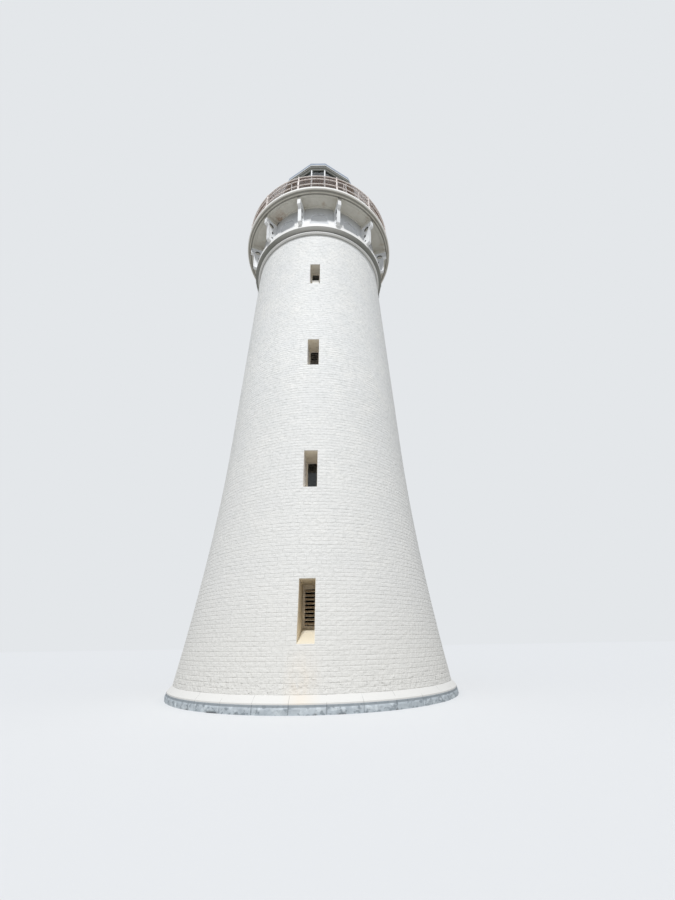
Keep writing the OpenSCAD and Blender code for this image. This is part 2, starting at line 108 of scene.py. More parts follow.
# A brick cut lower than this over or under an opening is left out
LEAST_CUT = 0.025
# The plinth's stones: count, first joint's turn, joint, faces across and up each, and the ring's depth
STONES = 33
STONE_START = -15.1
STONE_JOINT = 0.007
STONE_ACROSS = 26
STONE_UP = 7
STONE_DEPTH = 0.30
# Marks of age: how far left of the window line rust has run down, two holes in the drum, and a leak's rust
WASH_SIDE = 0.05
DRUM_HOLES = [(-1.704, -2.120, 17.840), (-1.752, -2.081, 17.805)]
LEAK_SPOT = (-1.60, -2.30, 17.93)


def shaft_r(z):
    """Outer radius of the shaft at a height."""
    flare = FLARE_OUT * ((FLARE_Z - z) / (FLARE_Z - FOOT_Z)) ** 2 if z < FLARE_Z else 0
    return SHAFT_TOP_R + BATTER * (SHAFT_TOP_Z - z) + flare


PLINTH_R = shaft_r(FOOT_Z) + WEATHERING_OUT + PLINTH_OUT
FRAME_Y = SHAFT_TOP_R - TOP_WALL_T - SETOFF * 3 + FRAME_IN


def linear(hex_color):
    """Turns an sRGB hex colour into the linear values that shaders take."""
    parts = [int(hex_color[i:i + 2], 16) / 255 for i in (1, 3, 5)]
    return [c / 12.92 if c <= 0.04045 else ((c + 0.055) / 1.055) ** 2.4 for c in parts] + [1.0]


def add(tree, kind, given=(), **settings):
    """Adds a node with its settings. Its sockets are given values, or a socket or node to link to them."""
    made = tree.nodes.new(kind)
    for key, value in settings.items():
        setattr(made, key, value)
    for key, value in dict(given).items():
        if isinstance(value, bpy.types.Node):
            value = value.outputs[0]
        if isinstance(value, bpy.types.NodeSocket):
            tree.links.new(value, made.inputs[key])
        else:
            made.inputs[key].default_value = value
    return made


class Finish:
    """A material under way: two tones in soft patches over a fine relief, then what is laid over them."""

    def __init__(self, name, base, patch, patch_mm, grain_mm, relief_mm, rough, metallic=0.0, spread=0.12):
        self.material = bpy.data.materials.new(name)
        self.material.use_nodes = True
        self.tree = self.material.node_tree
        self.shader = self.tree.nodes["Principled BSDF"]
        self.shader.inputs["Metallic"].default_value = metallic
        self.spot = self.add("TexCoord").outputs["Object"]
        patches = self.add("TexNoise", {
            "Scale": 1000 / patch_mm, "Detail": 5.0, "Roughness": 0.6, "Vector": self.spot})
        grain = self.add("TexNoise", {
            "Scale": 1000 / grain_mm, "Detail": 6.0, "Roughness": 0.55, "Vector": self.spot})
        self.feed("Base Color", "MixRGB", {
            "Color1": linear(base), "Color2": linear(patch), "Fac": self.fade(patches, 0.35, 0.65)})
        self.feed("Roughness", "MapRange", {
            "To Min": rough - spread, "To Max": min(1.0, rough + spread), "Value": grain})
        self.feed("Normal", "Bump", {"Distance": relief_mm / 1000, "Strength": 1.0, "Height": grain})

    def add(self, kind, given=(), **settings):
        """Adds a shader node to the material."""
        return add(self.tree, "ShaderNode" + kind, given, **settings)

    def feed(self, socket, kind, given):
        """Adds a node that feeds a socket of the shader."""
        self.tree.links.new(self.add(kind, given).outputs[0], self.shader.inputs[socket])

    def under(self, socket):
        """What feeds a socket of the shader so far."""
        return self.shader.inputs[socket].links[0].from_socket

    def lay(self, tone, *masks):
        """Lays a colour over the finish where all the masks are one."""
        self.feed("Base Color", "MixRGB", {
            "Fac": self.times(*masks), "Color1": self.under("Base Color"), "Color2": linear(tone)})

    def relief(self, height, depth_mm):
        """Adds coarser relief over the fine one."""
        self.feed("Normal", "Bump", {
            "Distance": depth_mm / 1000, "Strength": 1.0, "Height": height, "Normal": self.under("Normal")})

    def along(self, axis):
        """The distance along an axis, in metres."""
        return self.add("SeparateXYZ", {"Vector": self.spot}).outputs[axis]

    def from_axis(self):
        """The distance from the tower's axis, in metres."""
        flat = self.add("Mapping", {"Scale": (1, 1, 0), "Vector": self.spot})
        return self.add("VectorMath", {0: flat}, operation="LENGTH").outputs["Value"]

    def facing(self, axis):
        """How far a surface faces along an axis, by its own normal."""
        normal = self.add("TexCoord").outputs["Normal"]
        return self.add("SeparateXYZ", {"Vector": normal}).outputs[axis]

    def size_of(self, value):
        """A value without its sign."""
        return self.add("Math", {0: value}, operation="ABSOLUTE")

    def fade(self, value, start, end, amount=1.0):
        """A mask that grows from nothing at one value to an amount at another."""
        return self.add("MapRange", {"From Min": start, "From Max": end, "To Max": amount, "Value": value})

    def level(self, start, end, amount=1.0):
        """A mask that grows from nothing at one height to an amount at another."""
        return self.fade(self.along("Z"), start, end, amount)

    def underside(self, amount=1.0):
        """A mask of what faces the ground."""
        return self.fade(self.facing("Z"), -0.5, -0.9, amount)

    def blotches(self, size_mm, low, high, amount=1.0, stretch=(1, 1, 1), detail=4.0):
        """A mask of soft blotches, longer along an axis whose stretch is small."""
        spread = self.add("Mapping", {"Scale": stretch, "Vector": self.spot})
        cloud = self.add("TexNoise", {"Scale": 1000 / size_mm, "Detail": detail, "Vector": spread})
        return self.fade(cloud, low, high, amount)

    def near(self, spot, core, reach, amount=1.0):
        """A mask round a spot: an amount within the core, fading to nothing at the reach."""
        away = self.add("VectorMath", {0: self.spot, 1: spot}, operation="DISTANCE")
        return self.fade(away.outputs["Value"], reach, core, amount)

    def times(self, *masks):
        """The product of masks."""
        product = masks[0]
        for other in masks[1:]:
            product = self.add("Math", {0: product, 1: other}, operation="MULTIPLY")
        return product


def rust_wash(finish, width, amount):
    """A mask for the wash that rust has left down the wall from the lowest window's sill."""
    off = finish.add("Math", {0: finish.along("X"), 1: WASH_SIDE}, operation="ADD")
    front = finish.fade(finish.along("Y"), -2.0, -2.1)
    return finish.times(finish.fade(finish.size_of(off), width, 0.04, amount), front)


def stone_joints(finish, width):
    """A mask of thin upright joints, as far apart as the plinth's."""
    turn = finish.add("Math", {0: finish.along("Y"), 1: finish.along("X")}, operation="ARCTAN2")
    past = finish.add("Math", {0: turn, 1: math.radians(-90 + STONE_START)}, operation="SUBTRACT")
    steps = finish.add("Math", {0: past, 1: STONES / math.tau}, operation="MULTIPLY")
    nearest = finish.add("Math", {0: steps, 1: 0.5}, operation="PINGPONG")
    return finish.fade(nearest, width * STONES / math.tau / PLINTH_R, 0.0)


def whitewashed_brick():
    # Many coats of masonry paint on brick: a chalky, lumpy white that keeps dirt in its hollows
    wall = Finish("whitewashed_brick", "#EEEEEC", "#E7E8E8", 900, 20, 2.4, 0.66)
    # Single bricks a shade apart
    wall.lay("#DFE1E1", wall.blotches(260, 0.42, 0.62, 0.50, (1, 1, 2.6), 1.0))
    # Thick and thin places in the paint
    wall.lay("#D0D2D1", wall.blotches(90, 0.48, 0.64, 0.55, (1, 1, 1.4)))
    wall.relief(wall.blotches(95, 0.3, 0.7, 1.0, (1, 1, 1.5)), 7.0)
    # The wall is a shade greyer towards its foot, from 10 m down, and again in its lowest 2.5 m
    wall.lay("#D2D1CE", wall.level(10.0, 1.0, 0.80))
    wall.lay("#D4D2CC", wall.level(2.5, 0.4, 0.35))
    # Dirt in the hollows of the paint
    wall.lay("#B4B4AE", wall.blotches(30, 0.66, 0.74, 0.30))
    # Short dark gaps where paint has come off the joints near the ground
    foot = wall.level(1.00, 0.45)
    wall.lay("#73716B", wall.blotches(110, 0.685, 0.70, 0.75, (1, 1, 7), 2.0), foot)
    wall.relief(wall.times(wall.blotches(70, 0.3, 0.7), foot), 9.0)
    # Rust wash
    wall.lay("#E3D2BC", rust_wash(wall, 0.42, 1.0), wall.level(1.25, 0.25, 0.42),
             wall.blotches(500, 0.22, 0.55, 1.0, (4, 4, 1)))
    return wall.material


def limewashed_stone():
    # Smooth dressed stone under white paint, with hair cracks at its joints and faint runs of dirt
    stone = Finish("limewashed_stone", "#E3E2DE", "#DBDAD5", 500, 30, 0.8, 0.62)
    stone.lay("#C4C3BC", stone.blotches(140, 0.60, 0.75, 0.30, (1, 1, 0.4)))
    # The weathering course is painted a shade duller than the wall, as painted shade against the sun on its
    # slope; it is cracked at its joints and washed with rust
    low = stone.level(0.50, 0.40)
    stone.lay("#D5D4D1", stone.level(0.50, 0.40, 0.9))
    stone.lay("#E0D0B8", rust_wash(stone, 0.40, 0.35), low)
    stone.lay("#6F7172", stone_joints(stone, 0.005), low, stone.blotches(260, 0.44, 0.52))
    # The cornice is whiter; its underside is painted shade, darker towards its sides
    top = SHAFT_TOP_Z
    stone.lay("#F3F3F2", stone.level(top - 0.2, top - 0.1, 0.85))
    face = stone.level(top + 0.19, top + 0.20)
    stone.lay("#BDBCB8", stone.underside(0.7), face)
    stone.lay("#93948F", stone.fade(stone.size_of(stone.along("X")), 0.5, 1.9), stone.underside(), face)
    # Painted shade and shadow, with dirt, in the hollows above and below its roll: near black above it, grey
    # below it
    stone.lay("#35352F", stone.level(top + 0.120, top + 0.126, 0.95), stone.level(top + 0.212, top + 0.204))
    stone.lay("#6E6E69", stone.level(top - 0.01, top, 0.6), stone.level(top + 0.036, top + 0.028))
    return stone.material


def rendered_drum():
    # Cement render under white paint, finely sanded, and painted a little grey as painted shade under the
    # gallery
    drum = Finish("painted_render", "#DEE0E3", "#D4D7DA", 420, 9, 0.5, 0.72)
    drum.lay("#B7B9BA", drum.blotches(220, 0.55, 0.75, 0.35, (1, 1, 0.35)))
    # Painted shade: darker up into the corner under the soffit
    drum.lay("#8E8D87", drum.level(17.35, SOFFIT_Z, 0.65))
    # Two holes in the render under the soffit, left of the front
    for spot in DRUM_HOLES:
        drum.lay("#2F2A26", drum.near(spot, 0.038, 0.055, 0.9))
    return drum.material


def bluestone():
    # Basalt split by hammer, washed blue-grey: pale on lumps, darker in the breaks and on the smooth margin
    rock = Finish("bluestone", "#B7BFC5", "#A3ACB3", 130, 6, 1.4, 0.8)
    margin_z = PLINTH_H - MARGIN_H
    rock.lay("#727B82", rock.blotches(110, 0.46, 0.38, 0.65, (1, 1, 1.5)))
    rock.lay("#D0D8DD", rock.blotches(150, 0.55, 0.63, 0.60, (1, 1, 1.3)))
    rock.lay("#858C92", rock.level(margin_z - 0.006, margin_z, 0.75))
    rock.lay("#3F4243", rock.blotches(300, 0.56, 0.64), rock.level(0.05, 0.0))
    return rock.material


def painted_iron():
    # Cast iron under thick white oil paint: smooth, slightly glossy, with a faint sand-cast texture
    iron = Finish("painted_cast_iron", "#EEEFF0", "#E5E7E9", 260, 7, 0.35, 0.42)
    iron.lay("#BDB6AC", iron.blotches(90, 0.66, 0.78, 0.35, (1, 1, 0.5)))
    # The inner walls of the brackets' openings are painted near black
    for out, drop, radius, straight in BRACKET_HOLES:
        side = iron.add("Math", {0: iron.from_axis(), 1: DRUM_R + out}, operation="SUBTRACT")
        height = iron.add("Math", {0: iron.along("Z"), 1: BRACKET_TOP_Z - drop}, operation="SUBTRACT")
        past = iron.add("Math", {0: iron.size_of(height), 1: straight}, operation="SUBTRACT")
        beyond = iron.add("Math", {0: past, 1: 0.0}, operation="MAXIMUM")
        offset = iron.add("CombineXYZ", {"X": side, "Y": beyond})
        away = iron.add("VectorMath", {0: offset}, operation="LENGTH")
        iron.lay("#34322E", iron.fade(away.outputs["Value"], radius + 0.004, radius + 0.001, 0.95))
    return iron.material


def rail_paint():
    # Pink primer showing through worn white paint on wrought iron, with rust in the hollows
    rail = Finish("worn_rail_paint", "#F7F1EE", "#EFE5E0", 90, 12, 0.5, 0.55)
    rail.lay("#A58673", rail.blotches(70, 0.58, 0.68, 0.6, detail=6.0))
    return rail.material


def mesh_wire():
    # Galvanised wire gone brown with rust, with grey zinc left in places
    wire = Finish("rusty_galvanised_wire", "#8F7869", "#7D6455", 60, 4, 0.2, 0.6, 0.3)
    wire.lay("#A9A49E", wire.blotches(120, 0.56, 0.66, 0.6))
    return wire.material


def fascia_paint():
    # Pale blue-grey enamel on the upper band and chalky white on the lower one, both dusty
    fascia = Finish("chalked_blue_enamel", "#A2ACBB", "#97A1B0", 350, 18, 0.4, 0.88, spread=0.06)
    foot = EAVE_Z - FASCIA_H
    fascia.lay("#E6E7E6", fascia.level(foot + 0.100, foot + 0.097))
    # Painted shade: the beam under the fascia and the eave's underside are painted darker
    fascia.lay("#A9AAA7", fascia.level(foot - 0.001, foot - 0.005))
    fascia.lay("#86877F", fascia.underside(0.85))
    return fascia.material


def roof_paint():
    # White enamel on copper sheets, with grey dirt run down from the seams; its underside is painted near
    # black, as painted shade inside the lantern
    roof = Finish("roof_enamel", "#D6D9DB", "#C5C9CC", 300, 25, 0.5, 0.45)
    roof.lay("#A3A6A6", roof.blotches(160, 0.55, 0.72, 0.4, (1, 1, 0.3)))
    top = EAVE_Z + ROOF_RISE
    roof.lay("#1F1E1D", roof.fade(roof.facing("Z"), -0.05, -0.15), roof.level(top - 0.005, top - 0.010))
    return roof.material


def gallery_paint():
    # Painted stone slab: white nosing outside, and a soffit gone beige and damp-stained underneath
    gallery = Finish("soffit_paint", "#DDDBD3", "#D2CFC6", 380, 16, 0.8, 0.75)
    gallery.lay("#A48C70", gallery.blotches(420, 0.60, 0.74, 0.5), gallery.level(18.00, 17.95))
    # Rust that a leak has left beside the front left bracket
    gallery.lay("#9C7C62", gallery.near(LEAK_SPOT, 0.08, 0.42, 0.75), gallery.blotches(160, 0.35, 0.60))
    # Painted shade and dirt in the two hollows of the moulding, on both sides of its pale bead
    radius = gallery.from_axis()
    for inner, outer, amount in ((3.378, 3.416, 0.75), (3.287, 3.334, 0.85)):
        gallery.lay("#77756E", gallery.fade(radius, inner - 0.008, inner, amount),
                    gallery.fade(radius, outer + 0.008, outer), gallery.level(LIP_Z + 0.005, LIP_Z - 0.003))
    # The nosing is whiter, and the deck inside it is trodden grey
    gallery.lay("#F7F6F3", gallery.level(LIP_Z - 0.001, LIP_Z + 0.003))
    gallery.lay("#C2C0BA", gallery.level(DECK_Z - 0.003, DECK_Z - 0.001), gallery.fade(radius, 3.44, 3.42))
    return gallery.material


def frame_paint():
    # Old cream oil paint on timber, yellowed and dusty
    cream = Finish("cream_oil_paint", "#F5EDE1", "#ECE1D0", 120, 14, 0.6, 0.6)
    cream.lay("#A8977C", cream.blotches(50, 0.60, 0.72, 0.35))
    return cream.material


def louvre_paint():
    # Cream paint on the louvres, brown with dust on the blades, and a painted highlight on the faces that
    # look most nearly out of the window or into it
    louvre = Finish("louvre_paint", "#EBD9C2", "#DCC8AE", 70, 10, 0.5, 0.6)
    louvre.lay("#FFF6EA", louvre.fade(louvre.size_of(louvre.facing("Y")), 0.69, 0.74))
    return louvre.material


def reveal_paint():
    # Cream cement paint on the window reveals: brown with dust overhead, washed pale on the upper sills
    reveal = Finish("cream_reveal_paint", "#F3E9D7", "#ECE0CA", 240, 12, 0.8, 0.8)
    upper = reveal.level(3.5, 4.0)
    cheek = reveal.fade(reveal.size_of(reveal.facing("Z")), 0.6, 0.4)
    # The cheeks of the upper windows are painted lighter, most of all in the two highest, as painted light
    # for the light they catch
    reveal.lay("#F6F2ED", upper, cheek)
    reveal.lay("#F0F0EF", reveal.level(8.0, 9.0, 0.6), cheek)
    reveal.lay("#D6D2CA", reveal.level(10.5, 11.5, 0.6), reveal.underside())
    # Painted shade: the sills a shade darker, against the sun they catch
    reveal.lay("#E5DECC", reveal.fade(reveal.facing("Z"), 0.4, 0.6))
    reveal.lay("#E9E8E4", upper, reveal.fade(reveal.facing("Z"), 0.4, 0.6, 0.8))
    reveal.lay("#A38C6E", upper, reveal.blotches(90, 0.60, 0.70, 0.7), reveal.underside(0.5))
    return reveal.material


def bar_paint():
    # Dark oil paint on the parts that stand behind the panes, as painted shade for the dark inside of the
    # tower
    return Finish("painted_shade_paint", "#5C554E", "#4B4641", 80, 10, 0.4, 0.7).material


def floor_boards():
    # Sawn boards grey with age, drawn only for the floors inside
    return Finish("aged_boards", "#8C7B66", "#74644F", 90, 8, 0.8, 0.75).material


def pane(name, tint, thin, rough):
    # Sheet glass with a film of salt that blurs it in places and leaves it a shade clearer in others
    glass = bpy.data.materials.new(name)
    glass.use_nodes = True
    tree = glass.node_tree
    shader = tree.nodes["Principled BSDF"]
    spot = add(tree, "ShaderNodeTexCoord").outputs["Object"]
    film = add(tree, "ShaderNodeTexNoise", {"Scale": 1.6, "Detail": 3.0, "Vector": spot})
    salt = add(tree, "ShaderNodeMapRange", {"To Min": rough, "To Max": rough + 0.08, "Value": film})
    tone = add(tree, "ShaderNodeMixRGB", {"Color1": linear(tint), "Color2": linear(thin), "Fac": film})
    tree.links.new(tone.outputs[0], shader.inputs["Base Color"])
    tree.links.new(salt.outputs[0], shader.inputs["Roughness"])
    shader.inputs["IOR"].default_value = 1.52
    shader.inputs["Transmission Weight"].default_value = 1.0
    return glass


BRICK = whitewashed_brick()
STONE = limewashed_stone()
DRUM = rendered_drum()
ROCK = bluestone()
IRON = painted_iron()
RAIL = rail_paint()
WIRE = mesh_wire()
FASCIA = fascia_paint()
ROOF = roof_paint()
SOFFIT = gallery_paint()
CREAM = frame_paint()
LOUVRE = louvre_paint()
REVEAL = reveal_paint()
BAR = bar_paint()
# The lantern's panes are tinted grey: painted shade that darkens the lantern's inside as seen through them
LANTERN_PANE = pane("lantern_glass_pane", "#9DA8AC", "#B4BEC1", 0.02)
WINDOW_PANE = pane("window_glass_pane", "#8C989B", "#A6B0B2", 0.03)
BOARDS = floor_boards()

# What the nodes of the source are made of, apart from the quarters of the drum and the shaft
FINISHES = (
    (ROCK, "plinth ground_floor"), (STONE, "weathering_course cornice bracket_blocks"),
    (SOFFIT, "gallery_slab"), (IRON, "gallery_brackets lantern_base lantern_sill lantern_mullions"),
    (RAIL, "railing_posts railing_rails"), (LANTERN_PANE, "lantern_glass"), (FASCIA, "lantern_eave"),
    (ROOF, "lantern_roof ventilator"), (BOARDS, "first_floor second_floor third_floor"),
    (CREAM, "window_frames door_frame door_leaf"), (WINDOW_PANE, "window_glass"), (LOUVRE, "window_louvres"))
MADE_OF = {name: material for material, names in FINISHES for name in names.split()}
for name, node in NODES.items():
    material = MADE_OF.get(name, DRUM if name.startswith("drum") else BRICK)
    for slot in node.material_slots:
        slot.material = material
    if not node.material_slots:
        node.data.materials.append(material)


def new_object(name, data):
    """Puts an object in the scene."""
    made = bpy.data.objects.new(name, data)
    bpy.context.collection.objects.link(made)
    return made


def place(name, mesh):
    """Puts a finished mesh in the scene as a piece that rides on the tower."""
    piece = new_object(name, mesh)
    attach(piece, "root")
    return piece


def shaped(name, build):
    """The mesh that a function makes of an empty one, with its faces turned outwards."""
    bm = bmesh.new()
    build(bm)
    bmesh.ops.recalc_face_normals(bm, faces=bm.faces)
    mesh = bpy.data.meshes.new(name)
    bm.to_mesh(mesh)
    bm.free()
    return mesh


def single(name, build, material):
    """Places a piece that a function shapes as a whole."""
    mesh = shaped(name, build)
    mesh.materials.append(material)
    return place(name, mesh)


def points(name, spots, vectors):
    """A mesh of points, with named vectors on them."""
    mesh = bpy.data.meshes.new(name)
    mesh.from_pydata(spots, [], [])
    for label, values in vectors.items():
        layer = mesh.attributes.new(label, "FLOAT_VECTOR", "POINT")
        layer.data.foreach_set("vector", [c for value in values for c in value])
    return mesh


def new_tree(name, inputs):
    """Starts a Geometry Nodes tree with named inputs for its sizes; returns it with those inputs' sockets."""
    tree = bpy.data.node_groups.new(name, "GeometryNodeTree")
    for way in ("INPUT", "OUTPUT"):
        tree.interface.new_socket("Geometry", in_out=way, socket_type="NodeSocketGeometry")
    for label, value in inputs.items():
        kind = "NodeSocketInt" if isinstance(value, int) else "NodeSocketFloat"
        tree.interface.new_socket(label, in_out="INPUT", socket_type=kind).default_value = value
    return tree, add(tree, "NodeGroupInput").outputs


def close_tree(tree, geometry, material):
    """Ends a tree: instances made real, and their material set."""
    real = add(tree, "GeometryNodeRealizeInstances", {"Geometry": geometry})
    dressed = add(tree, "GeometryNodeSetMaterial", {"Material": material, "Geometry": real})
    add(tree, "NodeGroupOutput", {"Geometry": dressed})


def grow(name, mesh, tree, values):
    """Runs a Geometry Nodes tree on a mesh of points and places the result as a plain mesh."""
    holder = new_object(name + "_points", mesh)
    modifier = holder.modifiers.new("grow", "NODES")
    modifier.node_group = tree
    for item in tree.interface.items_tree:
        if item.item_type == "SOCKET" and item.in_out == "INPUT" and item.name in values:
            modifier[item.identifier] = values[item.name]
    bpy.context.view_layer.update()
    evaluated = holder.evaluated_get(bpy.context.evaluated_depsgraph_get())
    grown = bpy.data.meshes.new_from_object(evaluated)
    bpy.data.objects.remove(holder)
    grown.name = name
    return place(name, grown)


# The painted bricks

def brick_block(tree, sizes, length):
    """A block of a length, sunk so that its outer face lies on its point."""
    box = add(tree, "ShaderNodeCombineXYZ", {"X": length, "Y": sizes["Depth"], "Z": sizes["Height"]})
    block = add(tree, "GeometryNodeMeshCube", {"Size": box})
    half = add(tree, "ShaderNodeMath", {0: sizes["Depth"], 1: 0.5}, operation="MULTIPLY")
    back = add(tree, "ShaderNodeCombineXYZ", {"Y": half})
    return add(tree, "GeometryNodeSetPosition", {"Geometry": block, "Offset": back})


def brick_face(tree, sizes, length, block):
    """Raises a block's outer face and draws it in, so that it stands on a small splayed arris."""
    normal = add(tree, "ShaderNodeSeparateXYZ", {"Vector": add(tree, "GeometryNodeInputNormal")})
    outer = add(tree, "FunctionNodeCompare", {"A": normal.outputs["Y"], "B": -0.9}, operation="LESS_THAN")
    face = add(tree, "GeometryNodeExtrudeMesh", {
        "Mesh": block, "Selection": outer, "Offset Scale": sizes["Arris depth"]})
    span = add(tree, "ShaderNodeCombineXYZ", {"X": length, "Y": 1.0, "Z": sizes["Height"]})
    cut = add(tree, "ShaderNodeCombineXYZ", {"X": sizes["End arris"], "Z": sizes["Arris"]})
    twice = add(tree, "ShaderNodeVectorMath", {0: cut, "Scale": 2.0}, operation="SCALE")
    share = add(tree, "ShaderNodeVectorMath", {0: twice, 1: span}, operation="DIVIDE")
    left = add(tree, "ShaderNodeVectorMath", {0: (1, 1, 1), 1: share}, operation="SUBTRACT")
    spot = add(tree, "ShaderNodeVectorMath", {0: add(tree, "GeometryNodeInputPosition"), 1: left},
               operation="MULTIPLY")
    return add(tree, "GeometryNodeSetPosition", {
        "Geometry": face, "Selection": face.outputs["Top"], "Position": spot})


def lay_bricks(tree, sizes, brick, number):
    """Sets a brick on each point of its kind, turned and stretched to its place."""
    kind, turn, size = [
        add(tree, "GeometryNodeInputNamedAttribute", {"Name": label}, data_type=data)
        for label, data in (("kind", "INT"), ("turn", "FLOAT_VECTOR"), ("size", "FLOAT_VECTOR"))]
    chosen = add(tree, "FunctionNodeCompare", {"A": kind, "B": number}, data_type="INT", operation="EQUAL")
    euler = add(tree, "FunctionNodeEulerToRotation", {0: turn})
    return add(tree, "GeometryNodeInstanceOnPoints", {
        "Points": sizes["Geometry"], "Selection": chosen, "Instance": brick, "Rotation": euler,
        "Scale": size})


def unevenness(tree, given):
    """A random measure for each instance, up to the unevenness either way."""
    low = add(tree, "ShaderNodeMath", {0: given["Unevenness"], 1: -1.0}, operation="MULTIPLY")
    return add(tree, "FunctionNodeRandomValue", {2: low, 3: given["Unevenness"], 8: given["Seed"]}).outputs[1]


def paint_lumps(tree, sizes, bricks):
    """Moves each corner a little, as lumps of paint do, and more in the lowest courses."""
    spot = add(tree, "GeometryNodeInputPosition")
    lump = add(tree, "ShaderNodeTexNoise", {"Scale": 16.0, "Detail": 2.0, "Vector": spot})
    centred = add(tree, "ShaderNodeVectorMath", {0: lump.outputs["Color"], 1: (0.5, 0.5, 0.5)},
                  operation="SUBTRACT")
    height = add(tree, "ShaderNodeSeparateXYZ", {"Vector": spot}).outputs["Z"]
    foot = add(tree, "ShaderNodeMapRange", {
        "From Min": 0.75, "From Max": 0.35, "To Min": 4.0, "To Max": 14.0, "Value": height})
    amount = add(tree, "ShaderNodeMath", {0: foot, 1: sizes["Lumps"]}, operation="MULTIPLY")
    moved = add(tree, "ShaderNodeVectorMath", {0: centred, "Scale": amount}, operation="SCALE")
    return add(tree, "GeometryNodeSetPosition", {"Geometry": bricks, "Offset": moved})


def brick_tree():
    """Lays one painted brick on each point: stretchers on points of kind 0 and headers on those of kind 1."""
    tree, sizes = new_tree("brick_courses", {
        "Stretcher": STRETCHER, "Header": HEADER, "Height": COURSE_H, "Depth": BRICK_DEPTH, "Arris": ARRIS,
        "Arris depth": ARRIS_DEPTH, "End arris": END_ARRIS, "Unevenness": 0.0010, "Lumps": 0.0016, "Seed": 7})
    laid = []
    for number, label in enumerate(("Stretcher", "Header")):
        block = brick_block(tree, sizes, sizes[label])
        laid.append(lay_bricks(tree, sizes, brick_face(tree, sizes, sizes[label], block), number))
    both = add(tree, "GeometryNodeJoinGeometry")
    for bricks in laid:
        tree.links.new(bricks.outputs[0], both.inputs[0])
    push = add(tree, "ShaderNodeCombineXYZ", {"Y": unevenness(tree, sizes)})
    uneven = add(tree, "GeometryNodeTranslateInstances", {
        "Local Space": True, "Instances": both, "Translation": push})
    real = add(tree, "GeometryNodeRealizeInstances", {"Geometry": uneven})
    close_tree(tree, paint_lumps(tree, sizes, real), BRICK)
    return tree


def free_arcs(low, high):
    """Stretches of a course between openings: start and end turn in degrees, and the height each keeps."""
    openings = [(turn, WINDOW_W, head - height, head) for head, height, _, turn in WINDOWS]
    openings.append((180, DOOR_W, DOOR_Z, DOOR_Z + DOOR_H))
    radius = shaft_r((low + high) / 2)
    cuts, parts = [], []
    for turn, width, bottom, top in openings:
        if bottom < high and top > low:
            half = math.degrees(math.asin(width / 2 / radius))
            start, end = turn - 90 - half, turn - 90 + half
            cuts.append((start, end))
            if high - top > LEAST_CUT:
                parts.append((start, end, top, high))
            if bottom - low > LEAST_CUT:
                parts.append((start, end, low, bottom))
    cuts.sort()
    if not cuts:
        return [(None, None, low, high)]
    for k, cut in enumerate(cuts):
        after = cuts[(k + 1) % len(cuts)][0] + (360 if k == len(cuts) - 1 else 0)
        parts.append((cut[1], after, low, high))
    return parts


def brick_points(low_z, high_z):
    """One point for the middle of each brick's face, with its turn, scale and kind."""
    spots, turns, sizes, kinds = [], [], [], []
    for course in range(COURSES):
        low, high = FOOT_Z + course * COURSE_H, FOOT_Z + (course + 1) * COURSE_H
        if not low_z <= (low + high) / 2 < high_z:
            continue
        kind = course % 2
        length = HEADER if kind else STRETCHER
        for start, end, part_low, part_high in free_arcs(low, high):
            z = (part_low + part_high) / 2
            radius = shaft_r(z)
            lean = math.atan((shaft_r(z - 0.05) - shaft_r(z + 0.05)) / 0.1)
            whole = start is None
            span = 360 if whole else end - start
            count = max(1, round(math.radians(span) * radius / (length + END_JOINT)))
            step = span / count
            first = course * BOND_SHIFT * step if whole else start
            tall = (part_high - part_low - BED_JOINT) / COURSE_H
            wide = (math.radians(step) * radius - END_JOINT) / length
            out = radius + STAND_OUT
            for i in range(count):
                turn = math.radians(first + (i + 0.5) * step)
                spots.append((out * math.cos(turn), out * math.sin(turn), z))
                turns.append((-lean, 0, turn + math.pi / 2))
                sizes.append((wide, 1, tall))
                kinds.append(kind)
    mesh = points("brick_points", spots, {"turn": turns, "size": sizes})
    mesh.attributes.new("kind", "INT", "POINT").data.foreach_set("value", kinds)
    return mesh


BRICK_TREE = brick_tree()
for storey, label in enumerate(("ground", "first", "second", "third")):
    grow(label + "_storey_bricks", brick_points(STOREYS[storey], STOREYS[storey + 1]), BRICK_TREE,
         {"Seed": 7 + storey})


# Shapes that the pieces are made of

def corner(bm, radius, turn, z):
    """A corner at a radius, a turn and a height."""
    return bm.verts.new((radius * math.cos(turn), radius * math.sin(turn), z))


def hoop(bm, radius, z, sides, turn=0.0):
    """A loop of corners about Z."""
    return [corner(bm, radius, turn + math.tau * i / sides, z) for i in range(sides)]


def skin(bm, loops, closed=True):
    """Joins each loop of corners to the next with faces, and closes both ends; returns the corners."""
    for lower, upper in zip(loops, loops[1:]):
        for i in range(len(lower)):
            j = (i + 1) % len(lower)
            bm.faces.new((lower[i], lower[j], upper[j], upper[i]))
    if closed:
        bm.faces.new(list(reversed(loops[0])))
        bm.faces.new(loops[-1])
    return sum(loops, [])


def turned(bm, outline, sides, turn=0.0):
    """A turned solid about Z from an outline of radii and heights; returns its corners."""
    return skin(bm, [hoop(bm, radius, z, sides, turn) for radius, z in outline])


def ring(bm, profile, sides):
    """A closed ring about the tower's axis from a loop of radii and heights."""
    loops = [hoop(bm, radius, z, sides) for radius, z in profile]
    skin(bm, loops + loops[:1], closed=False)


def plate(bm, depth, half, height, bevel):
    """A flat plate as wide to both sides of X, with a bevelled edge on its +X face; returns its corners."""
    loops = []
    for x, cut in ((depth[0], 0), (depth[1] - bevel, 0), (depth[1], bevel)):
        side, low, high = half - cut, height[0] + cut, height[1] - cut
        outline = ((-side, low), (side, low), (side, high), (-side, high))
        loops.append([bm.verts.new((x, y, z)) for y, z in outline])
    return skin(bm, loops)


